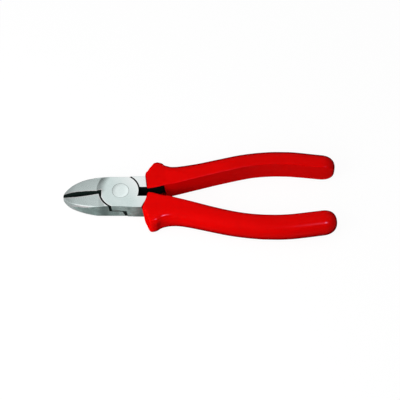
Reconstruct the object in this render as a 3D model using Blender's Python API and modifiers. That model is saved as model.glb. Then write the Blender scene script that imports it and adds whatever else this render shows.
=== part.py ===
"""Diagonal cutting pliers, 160 mm, with a riveted lap joint and moulded slip-on grips.

Frame: metres, +Z up. The pivot axis is the Z axis, and Z = 0 is the flat underside of
the head. The jaws point along -X and the handles along +X.

The tool is two forged levers that cross at a lap joint, one rivet and two grips. Each
lever and its grip are made in a frame of their own, in millimetres: jaw towards +Y,
handle towards -Y, lap plate on top, Z = 0 half way up the head. The back lever and the
upper grip are then turned half a turn about X. Top and bottom in the tables for the grip
rims and tangs are those of this own frame. The head's centre line runs along X.
"""

import math
from bisect import bisect_left

import bmesh
import bpy

MM = 0.001

# ---------------------------------------------------------------- head
HEAD_THICKNESS = 11.0
HALF_THICKNESS = HEAD_THICKNESS / 2
HEAD_HALF_WIDTH = 10.05
CENTRE_Y = -0.6          # the centre line's y in the front lever's frame
TIP_X = -33.5
LAP_GAP = 0.10           # between the two lap plates
CUT_GAP = 0.12           # between the closed cutting edges
SEAM_GAP = 0.30          # between a lap plate and the shoulder it turns against
# lap plate radii: (at the lap plane, at the face)
JAW_SIDE_RADII = (11.75, 12.05)
FRONT_RADII = (10.5, 10.75)      # handle side of the front lever
BACK_RADII = (10.85, 11.2)       # handle side of the back lever
UNDER_LAP_RADIUS = 8.0           # handle side, below the lap plane
# outer edge of the head beside the joint: (x, distance from the centre line)
HEAD_SIDE = ((0.0, HEAD_HALF_WIDTH), (4.5, HEAD_HALF_WIDTH + 0.3), (8.5, HEAD_HALF_WIDTH + 0.5))
SHANK_INNER = 2.9        # half the space between the shanks behind the joint
SHANK_OUTER = 10.6       # the steel reaches this far from the centre line at the grip's rim
JAW_ARC_STEPS, HANDLE_ARC_STEPS, POCKET_ARC_STEPS = 12, 16, 40

# ---------------------------------------------------------------- jaws
# plan of a jaw: (x, half width)
NOSE = ((-12.0, HEAD_HALF_WIDTH), (-15.0, 9.98), (-18.5, 9.62), (-22.0, 8.9), (-25.5, 7.65),
        (-28.2, 6.2), (-30.6, 4.45), (-32.4, 2.55), (-33.3, 1.15), (TIP_X, 0.45))
NOSE_STEPS = 22
NOSE_CROWDING = 1.6      # above 1 the nose points crowd towards the tip
EDGE_HEIGHT = ((-11.5, 3.3), (TIP_X, -1.1))      # cutting edge: (x, height above mid plane)
# drop of the jaw faces below the flat of the head: (x, drop)
DROP_TOP = ((-8.2, -0.1), (-10.3, 0.15), (-12.4, 0.6), (-23.0, 2.5), (-35.0, 4.85))
DROP_BOTTOM = ((-12.5, -0.1), (-18.0, 0.28), (-24.0, 0.7), (-30.0, 1.2), (-35.0, 1.75))
BEVEL_TOP, BEVEL_BOTTOM = 60.0, 78.0     # slope of the bevels beside the edge, degrees
BEVEL_END_X = -36.0      # beyond the tip
BEVEL_RISE = 12.0        # height of the bevel cutters
BEVEL_OVERCUT = 3.0      # they reach this far past the cutting plane
BEVEL_OVERLAP = 0.01     # and this far past the edge in height
FACE_CUTTER_Z, FACE_CUTTER_Y = 9.0, 14.0         # outer reach of the jaw face cutters

# Jaw sides by the sign of z in the lever's own frame: (drops, bevel slope, bevel start x)
FRONT_JAW = {1: (DROP_TOP, BEVEL_TOP, -11.3), -1: (DROP_BOTTOM, BEVEL_BOTTOM, -12.1)}
BACK_JAW = {1: (DROP_BOTTOM, BEVEL_BOTTOM, -12.1), -1: (DROP_TOP, BEVEL_TOP, -12.1)}

# ---------------------------------------------------------------- rivet
RIVET_RADIUS, RIVET_HEAD_RADIUS = 4.0, 4.85
RIVET_RIM_DEPTH = 0.35   # straight rim of the rivet's head
RIVET_SINK_DEPTH = 1.3   # foot of the countersink below the face
RIVET_CHAMFER = 0.1
RIVET_CLEAR = 0.06
TURNED_STEPS = 96
CUTTER_MARGIN = 1.0      # cutters run this far past the steel

# ---------------------------------------------------------------- tang
# (x, distance from the centre line, half width, half thickness)
TANG = ((12.7, 6.65, 3.35, 5.15), (17.0, 6.75, 3.45, 5.1), (21.5, 7.5, 3.4, 4.9),
        (26.5, 8.95, 3.3, 4.55), (33.0, 10.75, 3.2, 4.2), (42.0, 12.9, 3.1, 3.9),
        (52.0, 15.4, 3.0, 3.7), (62.0, 17.9, 2.95, 3.55), (72.0, 20.0, 2.9, 3.4),
        (82.0, 21.3, 2.85, 3.3), (92.0, 21.6, 2.8, 3.15), (102.0, 21.0, 2.7, 3.0),
        (110.0, 20.1, 2.6, 2.85), (115.0, 19.45, 2.3, 2.5))
TANG_RINGS = (12.7, 15.0, 17.0, 19.0, 21.5, 24.0, 26.5, 30.0, *range(34, 107, 6), 111.0, 115.0)
TANG_CHAMFER_X = 17.0    # the chamfers are larger beyond this x
TANG_CHAMFERS = (0.12, 0.28)     # share of the smaller half size: up to that x, beyond it

# ---------------------------------------------------------------- grips
# x of the grip's front rim at its four corners: (bottom, top)
RIM_OUTER = (14.7, 12.55)
RIM_INNER = (15.65, 17.1)
RIM_GAP = 0.3            # between the rim and the steel in front of it
RIM_POWER = 6.5          # superellipse exponent of the section at the rim
WINDOW_X = 26.0          # the inner wall starts here: before it the steel is bare
WINDOW_LEAN = 1.5        # difference in that x from bottom to top
WINDOW_SLOPE = 1.02      # the window spans directions up to this slope
WALL_CLEAR = 0.25        # between tang and grip

# centre lines: (x, distance from the centre line of the head)
LINE_START = ((12.0, 6.9), (18.0, 7.5), (24.0, 8.75), (30.0, 10.1), (34.6, 11.06),
              (41.7, 12.7), (48.7, 14.5))
LOWER_LINE = (*LINE_START, (55.7, 16.3), (62.7, 18.0), (69.7, 19.4), (76.7, 20.4),
              (83.8, 21.0), (90.8, 21.1), (97.8, 20.8), (104.8, 20.0), (111.8, 19.0),
              (118.8, 18.0), (127.0, 17.2))
UPPER_LINE = (*LINE_START, (55.7, 16.4), (62.7, 18.2), (69.7, 19.9), (76.7, 21.1),
              (83.8, 21.9), (90.8, 22.25), (97.8, 22.15), (104.8, 21.6), (111.8, 20.8),
              (118.8, 20.0), (127.0, 19.4))
# sections: (x, inner half width, outer half width, half thickness, superellipse exponent)
LOWER_SECTION = (
    (12.5, 6.9, 4.6, 7.45, 6.5), (15.07, 6.9, 8.4, 7.5, 6.5), (16.8, 6.9, 12.3, 7.5, 6.5),
    (17.6, 6.9, 13.3, 7.5, 6.5), (18.4, 6.95, 13.5, 7.5, 6.3), (20.9, 7.0, 12.5, 7.5, 5.5),
    (24.4, 7.15, 9.8, 7.4, 4.7), (27.9, 7.2, 8.4, 7.3, 4.1), (31.4, 7.0, 7.6, 7.2, 3.6),
    (38.0, 6.7, 6.9, 7.2, 3.4), (48.0, 6.5, 6.5, 7.3, 3.2), (62.0, 6.25, 6.3, 7.35, 3.1),
    (80.0, 6.15, 6.2, 7.4, 3.0), (100.0, 6.35, 6.35, 7.45, 2.9), (114.0, 6.4, 6.4, 7.4, 2.8),
    (127.0, 6.3, 6.3, 7.3, 2.7))
UPPER_SECTION = (
    (12.5, 6.9, 4.6, 7.45, 6.5), (15.07, 6.9, 5.9, 7.5, 6.5), (16.8, 6.9, 8.6, 7.5, 6.5),
    (18.2, 6.9, 10.4, 7.5, 6.4), (19.7, 6.95, 11.8, 7.5, 6.0), (20.9, 7.0, 11.75, 7.5, 5.5),
    (22.7, 7.05, 10.9, 7.45, 5.1), (24.4, 7.15, 9.9, 7.4, 4.7), (26.2, 7.25, 8.4, 7.35, 4.4),
    (27.9, 7.4, 8.0, 7.3, 4.1), (31.4, 7.5, 7.3, 7.2, 3.6), (38.0, 7.0, 7.0, 7.2, 3.4),
    (48.0, 6.5, 6.4, 7.2, 3.2), (62.0, 6.2, 6.2, 7.2, 3.1), (80.0, 6.15, 6.2, 7.2, 3.0),
    (100.0, 6.2, 6.25, 7.2, 2.9), (114.0, 6.2, 6.3, 7.15, 2.8), (127.0, 6.1, 6.1, 7.0, 2.7))
# guard_x is the crest of the guard
LOWER_GRIP = {"line": LOWER_LINE, "section": LOWER_SECTION, "guard_x": 18.4}
UPPER_GRIP = {"line": UPPER_LINE, "section": UPPER_SECTION, "guard_x": 19.9}

# Rings between the slanted rim (share 0) and the first ring of constant x (share 1)
SQUARE_X = 30.0
GUARD_SHARE = 0.4        # the ring on the guard's crest
SKIN_SHARES = (0.0, 0.14, 0.28, GUARD_SHARE, 0.48, 0.58, 0.7, 0.84)
CAVITY_SHARES = (0.0, GUARD_SHARE, 0.7)
GRIP_END, GRIP_CAP = 125.6, 8.5  # far end of the grips, and the length of the round cap
SKIN_RINGS = (SQUARE_X, 34.0, *range(39, 112, 6), GRIP_END - GRIP_CAP)
CAVITY_RINGS = (SQUARE_X, *range(34, 107, 6), 111.0, 115.6)
CAP_ANGLES = (20, 38, 54, 68, 80)

# Sections turn from upright to square to the handle over this length, starting at x
TILT_LENGTH = 14.0
TANG_TILT_X, GRIP_TILT_X = 18.0, 20.0

# Unit directions (across, up) round a grip section, more of them near its corners
DIRECTIONS = [(math.cos(math.radians(quarter + angle)), math.sin(math.radians(quarter + angle)))
              for quarter in (0, 90, 180, 270)
              for angle in (0, 14, 28, 38, 45, 52, 62, 76)]

# ---------------------------------------------------------------- materials
MATERIALS = {
    "polished_steel": dict(colour=(0.62, 0.66, 0.65), roughness=0.28, metallic=1.0),
    "polished_steel_b": dict(colour=(0.60, 0.64, 0.63), roughness=0.28, metallic=1.0),
    "rivet_steel": dict(colour=(0.70, 0.73, 0.72), roughness=0.25, metallic=1.0),
    "red_plastic_lower": dict(colour=(0.72, 0.01, 0.01), roughness=0.35, metallic=0.0),
    "red_plastic_upper": dict(colour=(0.70, 0.01, 0.01), roughness=0.35, metallic=0.0),
}


def material(name, colour, roughness, metallic):
    made = bpy.data.materials.new(name)
    made.use_nodes = True
    inputs = made.node_tree.nodes["Principled BSDF"].inputs
    inputs["Base Color"].default_value = (*colour, 1.0)
    inputs["Roughness"].default_value = roughness
    inputs["Metallic"].default_value = metallic
    made.diffuse_color = (*colour, 1.0)
    return made


# ---------------------------------------------------------------- curves
def smooth_value(table, x, column=1):
    """Value of one column of a table at x, by monotone cubics between its rows."""
    rows = sorted(table)
    xs = [row[0] for row in rows]
    values = [row[column] for row in rows]
    if x <= xs[0]:
        return values[0]
    if x >= xs[-1]:
        return values[-1]
    slopes = [(values[i + 1] - values[i]) / (xs[i + 1] - xs[i]) for i in range(len(xs) - 1)]
    tangents = [slopes[0]]
    for before, after in zip(slopes, slopes[1:]):
        turns = before * after <= 0
        tangents.append(0.0 if turns else 2 * before * after / (before + after))
    tangents.append(slopes[-1])
    i = bisect_left(xs, x) - 1
    span = xs[i + 1] - xs[i]
    t = (x - xs[i]) / span
    return (values[i] * (2 * t**3 - 3 * t**2 + 1)
            + tangents[i] * span * (t**3 - 2 * t**2 + t)
            + values[i + 1] * (3 * t**2 - 2 * t**3)
            + tangents[i + 1] * span * (t**3 - t**2))


def smooth_step(t):
    t = max(0.0, min(1.0, t))
    return t * t * (3 - 2 * t)


def mix(start, stop, share):
    return start + (stop - start) * share


def arc(radius, start, stop, steps):
    angles = [mix(start, stop, i / steps) for i in range(steps + 1)]
    return [(radius * math.cos(angle), radius * math.sin(angle)) for angle in angles]


def section_point(line, tilt_x, centre_y, x, offset, height):
    """A point of the section at x, offset from the handle's line towards the other handle."""
    slope = smooth_value(line, x + 0.5) - smooth_value(line, x - 0.5)
    lean = slope * smooth_step((x - tilt_x) / TILT_LENGTH)
    size = math.hypot(lean, 1.0)
    y = centre_y - smooth_value(line, x)
    return (x + lean / size * offset, y + offset / size, height)


# ---------------------------------------------------------------- objects
def collection(name):
    made = bpy.data.collections.new(name)
    bpy.context.scene.collection.children.link(made)
    return made


def mesh_object(name, bm, where, mat=None):
    """A new object from a bmesh in millimetres, with its normals facing out."""
    bmesh.ops.scale(bm, vec=(MM, MM, MM), verts=bm.verts)
    if len(bm.faces):    # a lathe profile has edges only
        bmesh.ops.recalc_face_normals(bm, faces=bm.faces)
    mesh = bpy.data.meshes.new(name)
    bm.to_mesh(mesh)
    bm.free()
    made = bpy.data.objects.new(name, mesh)
    where.objects.link(made)
    if mat:
        mesh.materials.append(mat)
    return made


def loft(loops):
    """A closed solid through loops that have the same number of points."""
    bm = bmesh.new()
    rings = [[bm.verts.new(point) for point in loop] for loop in loops]
    count = len(rings[0])
    for ring, following in zip(rings, rings[1:]):
        for i in range(count):
            j = (i + 1) % count
            bm.faces.new((ring[i], ring[j], following[j], following[i]))
    bm.faces.new(rings[0][::-1])
    bm.faces.new(rings[-1])
    return bm


def lathe(name, profile, where, mat=None):
    """A turned solid: a profile of (radius, height) on the +X side, top to bottom."""
    bm = bmesh.new()
    verts = [bm.verts.new((radius, 0, z)) for radius, z in profile]
    for pair in zip(verts, verts[1:]):
        bm.edges.new(pair)
    made = mesh_object(name, bm, where, mat)
    turn = made.modifiers.new("turn", "SCREW")
    turn.axis = "Z"
    turn.angle = 2 * math.pi
    turn.steps = turn.render_steps = TURNED_STEPS
    turn.use_merge_vertices = True
    turn.merge_threshold = 0.00001
    turn.use_smooth_shade = False
    return made


def combine(body, tool, operation="DIFFERENCE"):
    """Hide the tool object and apply it to the body with a boolean modifier."""
    tool.hide_render = True
    tool.display_type = "WIRE"
    boolean = body.modifiers.new(operation.lower() + "_" + tool.name, "BOOLEAN")
    boolean.operation = operation
    boolean.solver = "EXACT"
    boolean.object = tool


# ---------------------------------------------------------------- levers
def head_outline(centre_y, jaw_radius, handle_radius, up):
    """Plan of a head: jaw, lap plate and shank, counter-clockwise. up is 0 to 1."""
    cut_y = centre_y + CUT_GAP / 2
    points = arc(jaw_radius, math.pi - math.asin(cut_y / jaw_radius),
                 math.pi + math.asin((HEAD_HALF_WIDTH - centre_y) / jaw_radius), JAW_ARC_STEPS)
    points += [(x, centre_y - width) for x, width in HEAD_SIDE]
    points.append((mix(*RIM_OUTER, up) - RIM_GAP, centre_y - SHANK_OUTER))
    points.append((mix(*RIM_INNER, up) - RIM_GAP, centre_y - SHANK_INNER))
    # the limit covers a radius too small to reach the edge of the head
    end_sine = min(0.999, (HEAD_HALF_WIDTH + centre_y) / handle_radius)
    points += arc(handle_radius, math.asin((centre_y - SHANK_INNER) / handle_radius),
                  math.asin(end_sine), HANDLE_ARC_STEPS)
    points += [(x, centre_y + HEAD_HALF_WIDTH) for x in (0.0, -6.0)]
    for i in range(NOSE_STEPS + 1):
        x = mix(NOSE[0][0], TIP_X, 1 - (1 - i / NOSE_STEPS) ** NOSE_CROWDING)
        points.append((x, centre_y + smooth_value(NOSE, x)))
    points.append((TIP_X, cut_y))
    return points


def head(centre_y, radii):
    lap_radius, face_radius = radii
    jaw_lap_radius, jaw_face_radius = JAW_SIDE_RADII
    # (z, jaw side radius, handle side radius, up)
    layers = ((-HALF_THICKNESS, jaw_lap_radius, UNDER_LAP_RADIUS, 0.0),
              (-0.3, jaw_lap_radius, UNDER_LAP_RADIUS, 0.48),
              (-0.1, jaw_lap_radius, lap_radius, 0.5),
              (HALF_THICKNESS, jaw_face_radius, face_radius, 1.0))
    return loft([[(x, y, z) for x, y in head_outline(centre_y, *layer)] for z, *layer in layers])


def pocket(radii, other_radii):
    """The space below the lap plane where the other lever's lap plate turns."""
    jaw_lap_radius, jaw_face_radius = JAW_SIDE_RADII
    lap_radius = max(radii[0], other_radii[0])
    face_radius = other_radii[1]
    quarter = math.pi / 2
    loops = []
    for z, jaw_radius, handle_radius in (
            (-HALF_THICKNESS - CUTTER_MARGIN, jaw_face_radius, face_radius),
            (-HALF_THICKNESS, jaw_face_radius, face_radius),
            (LAP_GAP / 2, jaw_lap_radius, lap_radius)):
        ring = arc(handle_radius + SEAM_GAP, -quarter, quarter, POCKET_ARC_STEPS)[:-1]
        ring += arc(jaw_radius + SEAM_GAP, quarter, 3 * quarter, POCKET_ARC_STEPS)
        loops.append([(x, y, z) for x, y in ring])
    return loft(loops)


def jaw_face(side, drops):
    """The waste beyond the sloping face of a jaw."""
    ring = [(x, side * (HALF_THICKNESS - drop)) for x, drop in drops]
    ring += [(drops[-1][0], side * FACE_CUTTER_Z), (drops[0][0], side * FACE_CUTTER_Z)]
    return loft([[(x, y, z) for x, z in ring] for y in (-FACE_CUTTER_Y, FACE_CUTTER_Y)])


def bevel(side, slope, start_x, centre_y, edge_sign):
    """The waste beside the cutting edge. edge_sign is -1 in a frame that is upside down."""
    (start, start_z), (end, end_z) = EDGE_HEIGHT
    edge_y = centre_y + CUT_GAP / 2
    far_y = edge_y - BEVEL_OVERCUT
    run = BEVEL_RISE / math.tan(math.radians(slope))
    loops = []
    for x in (start_x, BEVEL_END_X):
        edge_z = edge_sign * (start_z + (end_z - start_z) * (x - start) / (end - start))
        top_z = edge_z + side * BEVEL_RISE
        loops.append([(x, edge_y, edge_z), (x, edge_y + run, top_z),
                      (x, far_y, top_z), (x, far_y, edge_z - side * BEVEL_OVERLAP)])
    return loft(loops)


def hole_profile():
    """Rivet hole with its countersink on the outer face of the lap plate."""
    head_radius = RIVET_HEAD_RADIUS + RIVET_CLEAR
    radius = RIVET_RADIUS + RIVET_CLEAR
    above = HALF_THICKNESS + CUTTER_MARGIN
    return [(0, above), (head_radius, above),
            (head_radius, HALF_THICKNESS - RIVET_RIM_DEPTH),
            (radius, HALF_THICKNESS - RIVET_SINK_DEPTH),
            (radius, -CUTTER_MARGIN), (0, -CUTTER_MARGIN)]


def tang(centre_y):
    """The chamfered bar that the grip slides over."""
    loops = []
    for x in TANG_RINGS:
        width, height = smooth_value(TANG, x, 2), smooth_value(TANG, x, 3)
        chamfer = TANG_CHAMFERS[x > TANG_CHAMFER_X] * min(width, height)
        flat, side = width - chamfer, height - chamfer
        corners = ((width, side), (flat, height), (-flat, height), (-width, side),
                   (-width, -side), (-flat, -height), (flat, -height), (width, -side))
        loops.append([section_point(TANG, TANG_TILT_X, centre_y, x, *corner)
                      for corner in corners])
    return loft(loops)


def lever(name, centre_y, radii, other_radii, jaw, edge_sign, parts, cutters, mat):
    """One forged lever in its own frame."""
    body = mesh_object(name, head(centre_y, radii), parts, mat)

    def tool(suffix, bm):
        return mesh_object(f"{name}_{suffix}", bm, cutters)

    combine(body, tool("pocket", pocket(radii, other_radii)))
    for side, (drops, _, _) in jaw.items():
        combine(body, tool(f"jaw_face_{side}", jaw_face(side, drops)))
    for side, (_, slope, start_x) in jaw.items():
        combine(body, tool(f"bevel_{side}", bevel(side, slope, start_x, centre_y, edge_sign)))
    combine(body, lathe(name + "_hole", hole_profile(), cutters))
    combine(body, tool("tang", tang(centre_y)), "UNION")


# ---------------------------------------------------------------- rivet
def rivet(parts, mat):
    face, head_radius = HALF_THICKNESS, RIVET_HEAD_RADIUS
    top = [(0, face), (head_radius - RIVET_CHAMFER, face), (head_radius, face - RIVET_CHAMFER),
           (head_radius, face - RIVET_RIM_DEPTH), (RIVET_RADIUS, face - RIVET_SINK_DEPTH)]
    bottom = [(radius, -z) for radius, z in reversed(top)]
    lathe("pivot_rivet", top + bottom, parts, mat)


# ---------------------------------------------------------------- grips
def superellipse(across, up, power):
    """Distance to the unit superellipse in a direction."""
    return (abs(across) ** power + abs(up) ** power) ** (-1.0 / power)


def in_window(across, up):
    """True on the inner side of a section, which is open at the front."""
    return across > 0 and abs(up) <= abs(across) * WINDOW_SLOPE


def rim_x(across, up):
    """x of the grip's front edge in one direction."""
    reach = superellipse(across, up, RIM_POWER)
    across_share, up_share = (1 + across * reach) / 2, (1 + up * reach) / 2
    if in_window(across, up):
        return WINDOW_X + WINDOW_LEAN * (up_share - 0.5)
    return mix(mix(*RIM_OUTER, up_share), mix(*RIM_INNER, up_share), across_share)


def front_ring(share, guard_x):
    """x in each direction for a ring between the rim and SQUARE_X."""
    xs = []
    for across, up in DIRECTIONS:
        rim = rim_x(across, up)
        if in_window(across, up):
            xs.append(mix(rim, SQUARE_X, share))
        elif share < GUARD_SHARE:
            xs.append(mix(rim, guard_x, share / GUARD_SHARE))
        else:
            xs.append(mix(guard_x, SQUARE_X, (share - GUARD_SHARE) / (1 - GUARD_SHARE)))
    return xs


def ring_stations(shares, stations, guard_x):
    """Lists of x in each direction: the slanted rings, then those of constant x."""
    return ([front_ring(share, guard_x) for share in shares]
            + [[x] * len(DIRECTIONS) for x in stations])


def skin_ring(xs, centre_y, shape, scale=1.0):
    section = shape["section"]
    ring = []
    for x, (across, up) in zip(xs, DIRECTIONS):
        reach = scale * superellipse(across, up, smooth_value(section, x, 4))
        width = smooth_value(section, x, 1 if across > 0 else 2)
        height = smooth_value(section, x, 3)
        ring.append(section_point(shape["line"], GRIP_TILT_X, centre_y, x,
                                  across * reach * width, up * reach * height))
    return ring


def cavity_ring(xs, centre_y):
    """A square-cornered ring that clears the tang."""
    ring = []
    for x, (across, up) in zip(xs, DIRECTIONS):
        reach = 1.0 / max(abs(across), abs(up))
        width = smooth_value(TANG, x, 2) + WALL_CLEAR
        height = smooth_value(TANG, x, 3) + WALL_CLEAR
        ring.append(section_point(TANG, TANG_TILT_X, centre_y, x,
                                  across * reach * width, up * reach * height))
    return ring


def grip(name, centre_y, shape, parts, mat):
    """A closed-ended sleeve: outer skin, front lip and the cavity that holds the tang."""
    guard_x = shape["guard_x"]
    skin = [skin_ring(xs, centre_y, shape)
            for xs in ring_stations(SKIN_SHARES, SKIN_RINGS, guard_x)]
    for angle in map(math.radians, CAP_ANGLES):
        x = GRIP_END - GRIP_CAP * (1 - math.sin(angle))
        skin.append(skin_ring([x] * len(DIRECTIONS), centre_y, shape, math.cos(angle)))
    cavity = [cavity_ring(xs, centre_y)
              for xs in ring_stations(CAVITY_SHARES, CAVITY_RINGS, guard_x)]
    mesh_object(name, loft(cavity[::-1] + skin), parts, mat)


# ---------------------------------------------------------------- the tool
def main():
    for obj in list(bpy.data.objects):
        bpy.data.objects.remove(obj)
    parts = collection("diagonal_cutting_pliers")
    cutters = collection("cutters")
    mats = {name: material(name, **look) for name, look in MATERIALS.items()}

    lever("front_lever", CENTRE_Y, FRONT_RADII, BACK_RADII, FRONT_JAW, 1,
          parts, cutters, mats["polished_steel"])
    lever("back_lever", -CENTRE_Y, BACK_RADII, FRONT_RADII, BACK_JAW, -1,
          parts, cutters, mats["polished_steel_b"])
    rivet(parts, mats["rivet_steel"])
    grip("lower_grip", CENTRE_Y, LOWER_GRIP, parts, mats["red_plastic_lower"])
    grip("upper_grip", -CENTRE_Y, UPPER_GRIP, parts, mats["red_plastic_upper"])

    # raise the underside to Z = 0 and turn the second half of the pair over
    for obj in (*parts.objects, *cutters.objects):
        obj.location = (0, 0, HALF_THICKNESS * MM)
        if obj.name.startswith(("back_lever", "upper_grip")):
            obj.rotation_euler = (math.pi, 0, 0)


main()
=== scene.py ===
# Lap-jointed cutting pliers lying flat: jaws towards -x, handles towards +x, rivet on the z axis.
# Two steel levers cross at the rivet, and each carries a red moulded grip. The front lever has
# its handle at -y and its jaw at +y. The back lever is shaped alike and turned over about x.
import math
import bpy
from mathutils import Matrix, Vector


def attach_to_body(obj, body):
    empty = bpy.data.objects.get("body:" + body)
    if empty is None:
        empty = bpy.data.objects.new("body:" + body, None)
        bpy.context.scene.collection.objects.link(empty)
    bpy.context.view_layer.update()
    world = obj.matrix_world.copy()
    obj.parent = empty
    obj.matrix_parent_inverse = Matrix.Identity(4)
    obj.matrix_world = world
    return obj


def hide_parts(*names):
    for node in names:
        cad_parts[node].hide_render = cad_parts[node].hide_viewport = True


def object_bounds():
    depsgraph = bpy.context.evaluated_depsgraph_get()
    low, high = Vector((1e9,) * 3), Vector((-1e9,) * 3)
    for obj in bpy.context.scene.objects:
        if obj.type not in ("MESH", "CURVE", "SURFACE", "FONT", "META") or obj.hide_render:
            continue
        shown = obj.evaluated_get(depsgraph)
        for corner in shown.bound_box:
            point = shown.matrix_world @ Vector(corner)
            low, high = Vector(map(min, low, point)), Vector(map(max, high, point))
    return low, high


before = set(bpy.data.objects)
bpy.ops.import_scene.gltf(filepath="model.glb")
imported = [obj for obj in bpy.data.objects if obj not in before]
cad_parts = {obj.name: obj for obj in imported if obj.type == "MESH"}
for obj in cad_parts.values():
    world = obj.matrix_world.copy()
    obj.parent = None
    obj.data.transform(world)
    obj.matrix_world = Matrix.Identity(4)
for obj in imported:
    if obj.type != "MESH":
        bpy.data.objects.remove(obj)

from types import SimpleNamespace

import bpy
import numpy as np
from mathutils import Vector

CAD_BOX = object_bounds()

# ------------------------------------------------------------------ sizes, in millimetres
# Each lever is shaped in its own frame: mid plane of the head at z = 0, jaw towards +y,
# handle towards -y, lap plate at z > 0. "Inner" is towards +y, where the other handle lies.
MM = 0.001
HEAD_THICKNESS = 11.0
MID = HEAD_THICKNESS / 2
HEAD_HALF_WIDTH = 10.05
TIP_X = -33.5
CUT_Y = -0.6                    # where the cutting edges meet
LAP_GAP, CUT_GAP, SEAM_GAP = 0.24, 0.10, 0.46
# radii of the round lap plates, at mid plane and at the face
PLATE_JAW_SIDE = (11.75, 12.05)
PLATE_HANDLE_SIDE = {"front": (10.5, 10.75), "back": (10.85, 11.2)}
SHANK_IN = 2.9                  # the shank's inner side, out from the cut
EDGE_STATION_END = 20.0
# x of the grip's front rim, at the bottom and the top of its section
RIM_OUTER = (14.7, 12.55)
RIM_INNER = (15.65, 16.4)
RIM_OUT = 10.6                  # the rim's outer side, out from the cut
RIVET_R, RIVET_HEAD_R = 4.0, 4.85
RIVET_HEAD_Z = MID - 0.35       # the rivet head tapers from here
RIVET_NECK_Z = MID - 1.3        # to here
TANG_START, TANG_END = 11.0, 115.2
TANG_ROUND = 0.9
GRIP_END, GRIP_CAP = 125.6, 8.5  # the grip's far end, and the length of its rounding
WINDOW_X = 26.0
CAVITY_CLEAR = 0.18

# grid steps for meshing
LEVER_STEP = 0.17
GRIP_STEP = 0.27

# x, height of the cutting edge
EDGE_Z = ((-34.5, -1.0), (-33.5, -0.95), (-31.5, -0.7), (-27.0, -0.15), (-22.0, 0.9),
          (-17.0, 2.25), (-13.5, 3.3), (-11.5, 3.75), (-9.0, 4.2))
# x, outline of the jaw's outer side, measured from the cut
NOSE = ((-12.0, 10.05), (-15.0, 9.98), (-18.5, 9.62), (-22.0, 8.9), (-25.5, 7.65),
        (-28.2, 6.2), (-30.6, 4.45), (-32.4, 2.55), (-33.3, 1.15), (-33.5, 0.45))
# x, extra width of the front lever's jaw
JAW_SWELL = ((-31.0, 0.0), (-28.0, 0.25), (-24.0, 0.5), (-21.6, 0.6), (-16.0, 0.42),
             (-12.0, 0.3))
# x, width across and depth down of the band ground along the outer edges
BAND = ((-34.5, 0.12, 0.3), (-31.0, 0.15, 0.5), (-28.0, 0.24, 0.9), (-25.5, 0.45, 1.3),
        (-22.6, 0.6, 1.35), (-19.0, 0.5, 0.95), (-16.0, 0.3, 0.45), (-14.0, 0.14, 0.16),
        (-12.0, 0.12, 0.12), (EDGE_STATION_END, 0.12, 0.12))
# x, centre line out from the cut, half width, half thickness
TANG = ((12.7, 6.65, 3.35, 5.15), (17.0, 6.75, 3.45, 5.1), (21.5, 7.5, 3.4, 4.9),
        (26.5, 8.95, 3.3, 4.55), (33.0, 10.75, 3.2, 4.2), (42.0, 12.9, 3.1, 3.9),
        (52.0, 15.4, 3.0, 3.7), (62.0, 17.9, 2.95, 3.55), (72.0, 20.0, 2.9, 3.4),
        (82.0, 21.3, 2.85, 3.3), (92.0, 21.6, 2.8, 3.15), (102.0, 21.0, 2.7, 3.0),
        (110.0, 20.1, 2.6, 2.85), (115.0, 19.45, 2.3, 2.5))

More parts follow.
